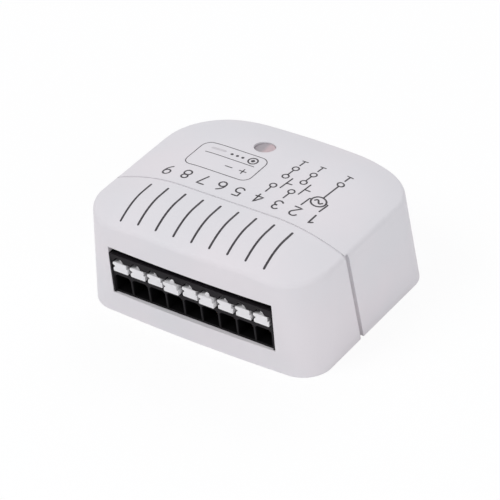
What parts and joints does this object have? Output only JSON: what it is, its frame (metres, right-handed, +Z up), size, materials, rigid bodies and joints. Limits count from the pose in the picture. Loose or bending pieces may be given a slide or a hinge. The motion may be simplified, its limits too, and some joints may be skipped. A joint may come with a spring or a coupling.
{
  "type": "roller shutter module",
  "caption": "Flush smart-home module that drives a roller shutter motor from behind a wall switch: pale two-shell box with push-in terminals, release buttons and a programming button.",
  "frame": {"origin": "on the floor under the middle of the housing, at the centre of the bounding box's bottom", "axes": "+X to the right along the terminal face as seen from the terminals, -Y out of the terminal face, +Z up out of the printed top"},
  "size_m": [0.0426, 0.0382, 0.0203],
  "materials": {
    "housing_plastic": "fine matt moulded shell, pale warm grey",
    "block_plastic": "dark grey glass-filled plastic",
    "button_plastic": "white moulded plastic",
    "light_guide": "milky translucent plastic",
    "spring_steel": "rolled stainless strip",
    "contact_copper": "tinned copper strip",
    "board_laminate": "green solder mask over glass laminate",
    "relay_plastic": "black moulded case",
    "film_plastic": "yellow moulded case",
    "capacitor_sleeve": "dark shrunk sleeve",
    "varistor_coat": "blue dipped coating",
    "resistor_coat": "grey-green lacquer",
    "chip_epoxy": "black moulded epoxy",
    "transformer_wrap": "yellow tape over a dark ferrite core",
    "header_plastic": "black moulded plastic",
    "pin_metal": "gold flashed",
    "shield_can": "drawn tin-plated sheet",
    "ceramic": "unglazed ceramic",
    "switch_plastic": "black moulded plastic",
    "led_lens": "clear lens over a pale phosphor"
  },
  "bodies": {
    "housing": {"rear_cover": "housing_plastic", "front_cover": "housing_plastic", "terminal_housing": "block_plastic", "clamp_spring_1": "spring_steel", "clamp_spring_2": "spring_steel", "clamp_spring_3": "spring_steel", "clamp_spring_4": "spring_steel", "clamp_spring_5": "spring_steel", "clamp_spring_6": "spring_steel", "clamp_spring_7": "spring_steel", "clamp_spring_8": "spring_steel", "clamp_spring_9": "spring_steel", "contact_bars": "contact_copper", "main_board": "board_laminate", "relay_1": "relay_plastic", "relay_2": "relay_plastic", "mains_capacitor": "film_plastic", "smoothing_capacitor": "capacitor_sleeve", "varistor": "varistor_coat", "fuse_resistor": "resistor_coat", "rectifier": "chip_epoxy", "transformer": "transformer_wrap", "power_controller": "chip_epoxy", "optocouplers": "chip_epoxy", "header_socket": "header_plastic", "header_carrier": "header_plastic", "header_pins": "pin_metal", "radio_board": "board_laminate", "radio_module": "shield_can", "chip_antenna": "ceramic", "prog_switch": "switch_plastic", "status_led": "led_lens"},
    "release_1": {"release_button_1": "button_plastic"},
    "release_2": {"release_button_2": "button_plastic"},
    "release_3": {"release_button_3": "button_plastic"},
    "release_4": {"release_button_4": "button_plastic"},
    "release_5": {"release_button_5": "button_plastic"},
    "release_6": {"release_button_6": "button_plastic"},
    "release_7": {"release_button_7": "button_plastic"},
    "release_8": {"release_button_8": "button_plastic"},
    "release_9": {"release_button_9": "button_plastic"},
    "programming_button": {"prog_button": "light_guide", "prog_switch_stem": "switch_plastic"}
  },
  "joints": [
    {"name": "release_1_press", "type": "slide", "parent": "housing", "child": "release_1", "axis": [0, 1, 0], "range_m": [0, 0.00066], "stiffness_N_per_m": 1500, "deforming": ["clamp_spring_1"]},
    {"name": "release_2_press", "type": "slide", "parent": "housing", "child": "release_2", "axis": [0, 1, 0], "range_m": [0, 0.00066], "stiffness_N_per_m": 1500, "deforming": ["clamp_spring_2"]},
    {"name": "release_3_press", "type": "slide", "parent": "housing", "child": "release_3", "axis": [0, 1, 0], "range_m": [0, 0.00066], "stiffness_N_per_m": 1500, "deforming": ["clamp_spring_3"]},
    {"name": "release_4_press", "type": "slide", "parent": "housing", "child": "release_4", "axis": [0, 1, 0], "range_m": [0, 0.00106], "stiffness_N_per_m": 1500, "deforming": ["clamp_spring_4"]},
    {"name": "release_5_press", "type": "slide", "parent": "housing", "child": "release_5", "axis": [0, 1, 0], "range_m": [0, 0.00066], "stiffness_N_per_m": 1500, "deforming": ["clamp_spring_5"]},
    {"name": "release_6_press", "type": "slide", "parent": "housing", "child": "release_6", "axis": [0, 1, 0], "range_m": [0, 0.00106], "stiffness_N_per_m": 1500, "deforming": ["clamp_spring_6"]},
    {"name": "release_7_press", "type": "slide", "parent": "housing", "child": "release_7", "axis": [0, 1, 0], "range_m": [0, 0.00066], "stiffness_N_per_m": 1500, "deforming": ["clamp_spring_7"]},
    {"name": "release_8_press", "type": "slide", "parent": "housing", "child": "release_8", "axis": [0, 1, 0], "range_m": [0, 0.00066], "stiffness_N_per_m": 1500, "deforming": ["clamp_spring_8"]},
    {"name": "release_9_press", "type": "slide", "parent": "housing", "child": "release_9", "axis": [0, 1, 0], "range_m": [0, 0.00066], "stiffness_N_per_m": 1500, "deforming": ["clamp_spring_9"]},
    {"name": "programming_button_press", "type": "slide", "parent": "housing", "child": "programming_button", "axis": [0, 0, -1], "range_m": [0, 0.00025], "stiffness_N_per_m": 2000}
  ]
}
